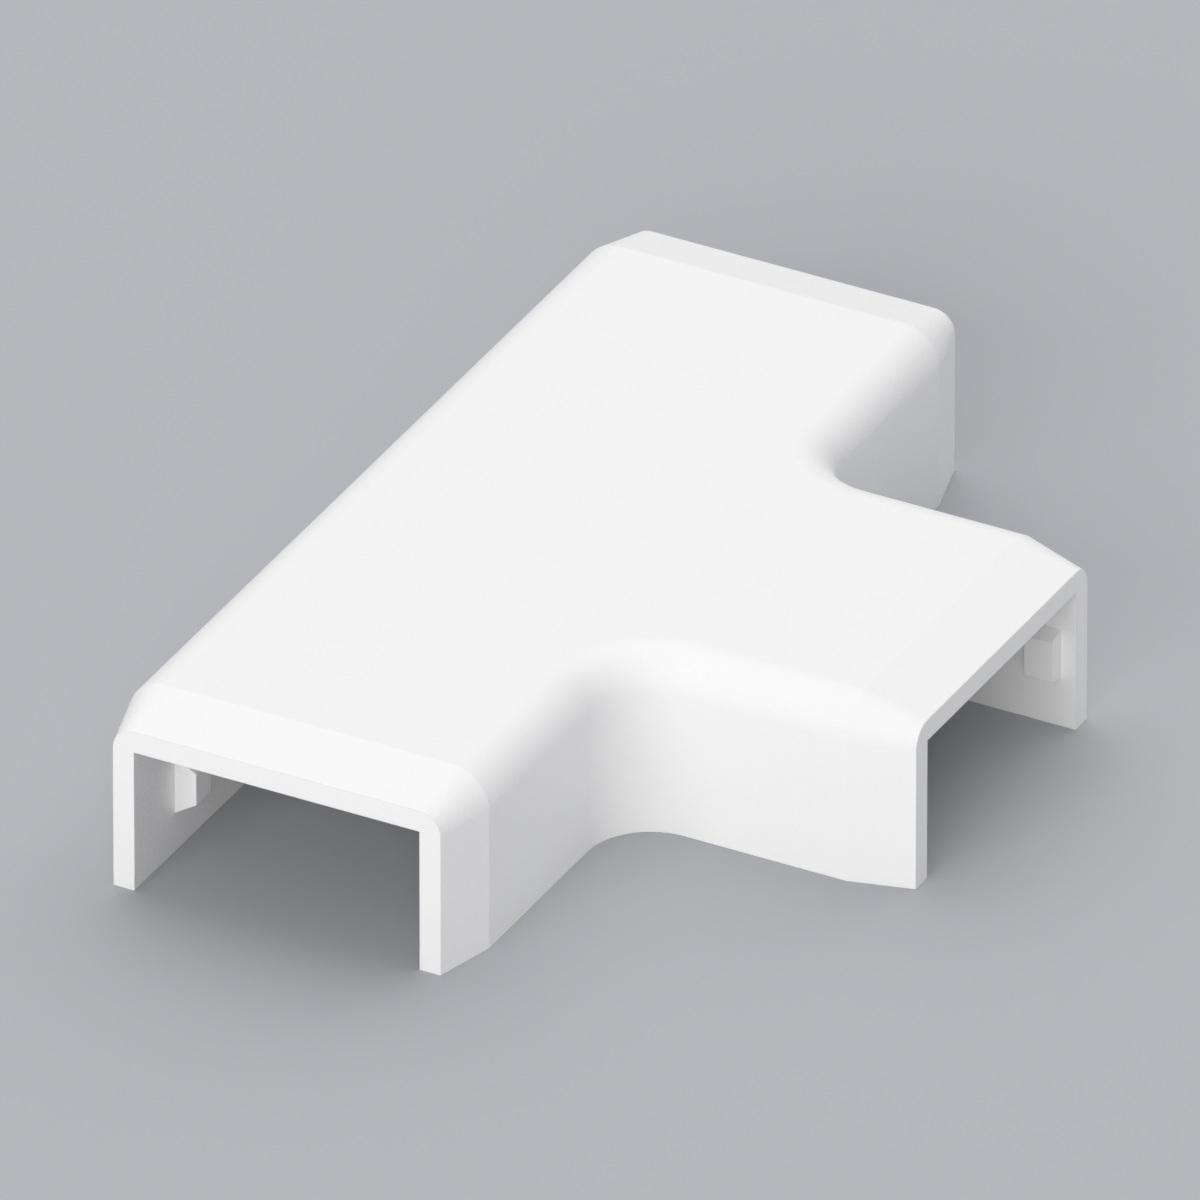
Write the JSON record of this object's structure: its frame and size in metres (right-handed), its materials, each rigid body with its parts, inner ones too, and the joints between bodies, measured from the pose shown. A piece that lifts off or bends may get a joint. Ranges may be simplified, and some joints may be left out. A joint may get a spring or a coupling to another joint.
{
  "type": "trunking tee fitting",
  "caption": "Equal tee cover for mini cable trunking: a moulded channel shell open at the base, with tapered mouths, round shoulders and inner lugs.",
  "frame": {"origin": "where the axes of the run and the branch cross, on the base plane that lies against the wall", "axes": "+X along the run, -Y along the branch towards its mouth, +Z away from the wall"},
  "size_m": [0.0692, 0.0457, 0.0127],
  "materials": {
    "white_plastic": "satin"
  },
  "bodies": {
    "root": {"tee_cover": "white_plastic"}
  },
  "joints": []
}
